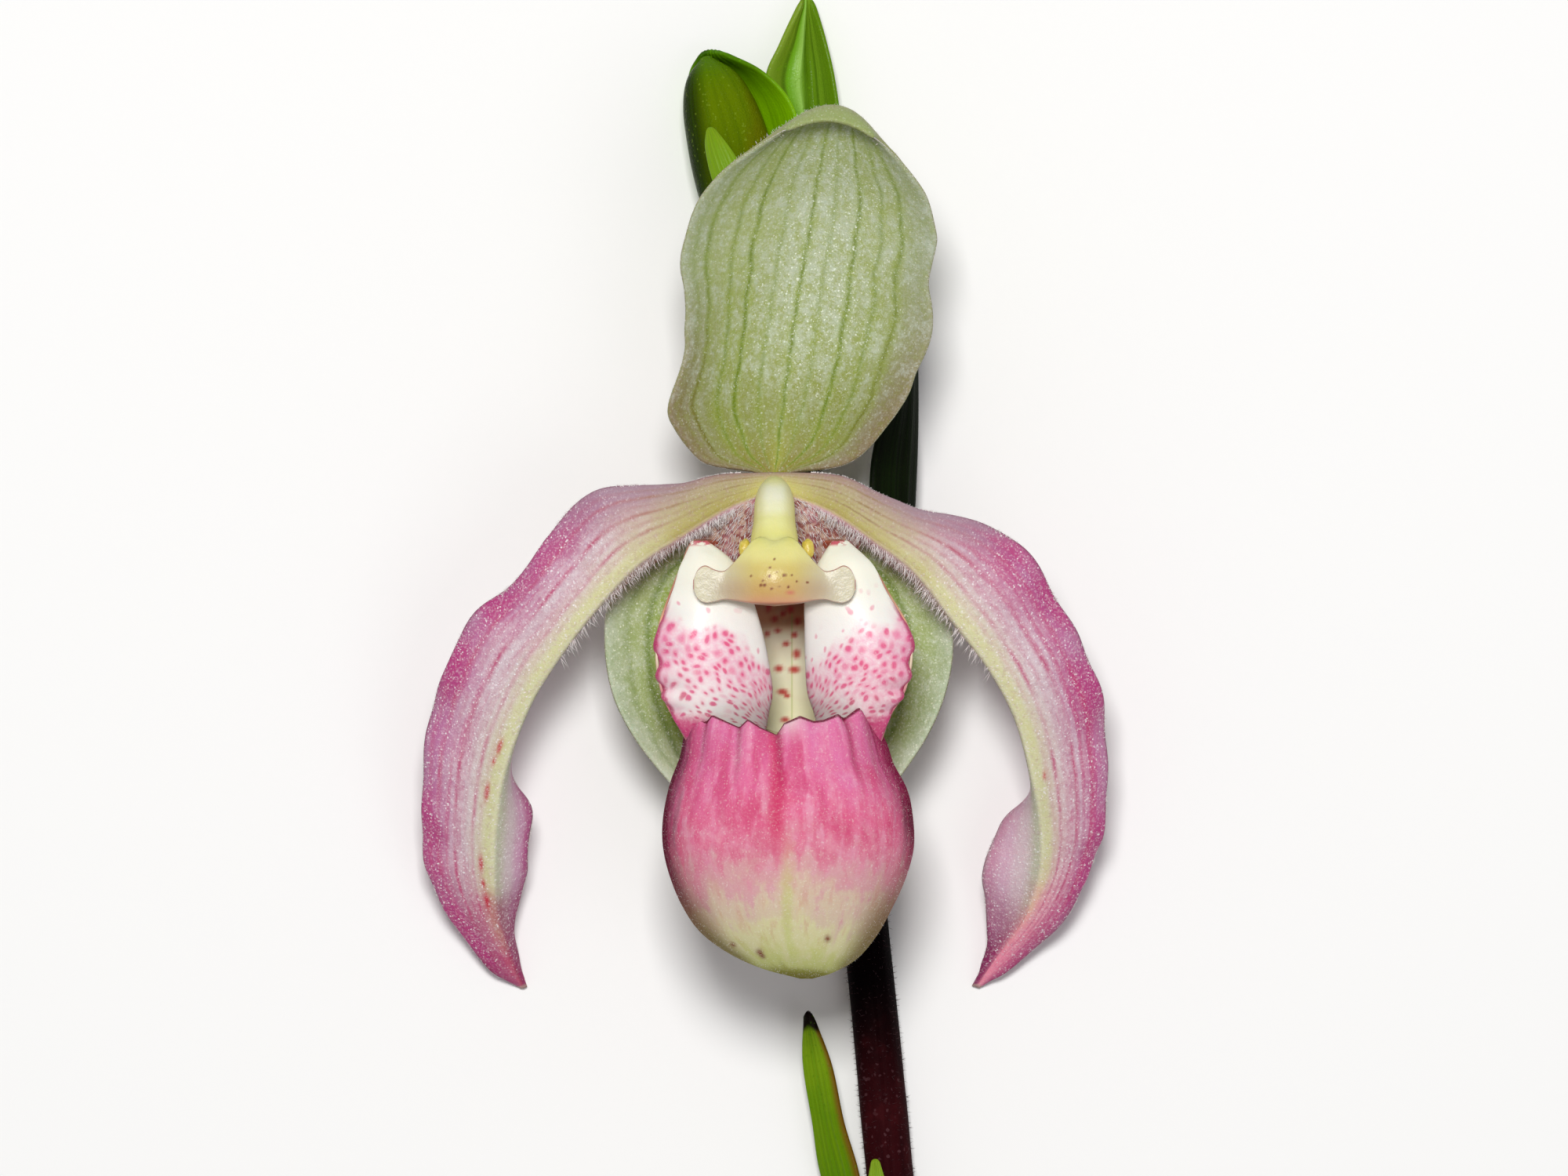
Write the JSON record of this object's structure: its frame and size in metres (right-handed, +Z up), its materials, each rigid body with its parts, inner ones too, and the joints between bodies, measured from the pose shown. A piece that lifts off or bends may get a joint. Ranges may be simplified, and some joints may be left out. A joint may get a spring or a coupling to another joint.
{
  "type": "phragmipedium orchid flower stem",
  "caption": "Cut slipper orchid stem lying on a surface: pink pouched bloom facing up, hooded green sepal, twisted drooping petals, buds and bracts.",
  "frame": {"origin": "middle of the footprint's bounding rectangle, on the surface that the flower stem lies on", "axes": "+Y along the stem from its cut end to its buds, +X to the right of the bloom seen from above, +Z up, the way the bloom faces"},
  "size_m": [0.0652, 0.149, 0.0365],
  "materials": {
    "stem": "dark maroon stem, finely hairy",
    "ovary": "maroon brown, ribbed and hairy",
    "sepal": "pale grey green with green veins, crystalline sparkle",
    "petal": "whitish pink to magenta with rose veins, crystalline sparkle",
    "lip": "waxy rose pouch, yellow green toe, white spotted side lobes",
    "column": "waxy pale yellow",
    "anther": "waxy yellow",
    "bract": "smooth green leaf",
    "bud": "glossy olive green"
  },
  "bodies": {
    "root": {"stem": "stem", "ovary": "ovary", "dorsal_sepal": "sepal", "synsepal": "sepal", "petal_left": "petal", "petal_right": "petal", "lip": "lip", "column": "column", "anther_left": "anther", "anther_right": "anther", "floral_bract_1": "bract", "floral_bract_2": "bract", "floral_bract_3": "bract", "small_bract": "bract", "stem_bract_lower": "bract", "stem_bract_small": "bract", "bud_2": "bud", "bud_3": "bud"}
  },
  "joints": []
}
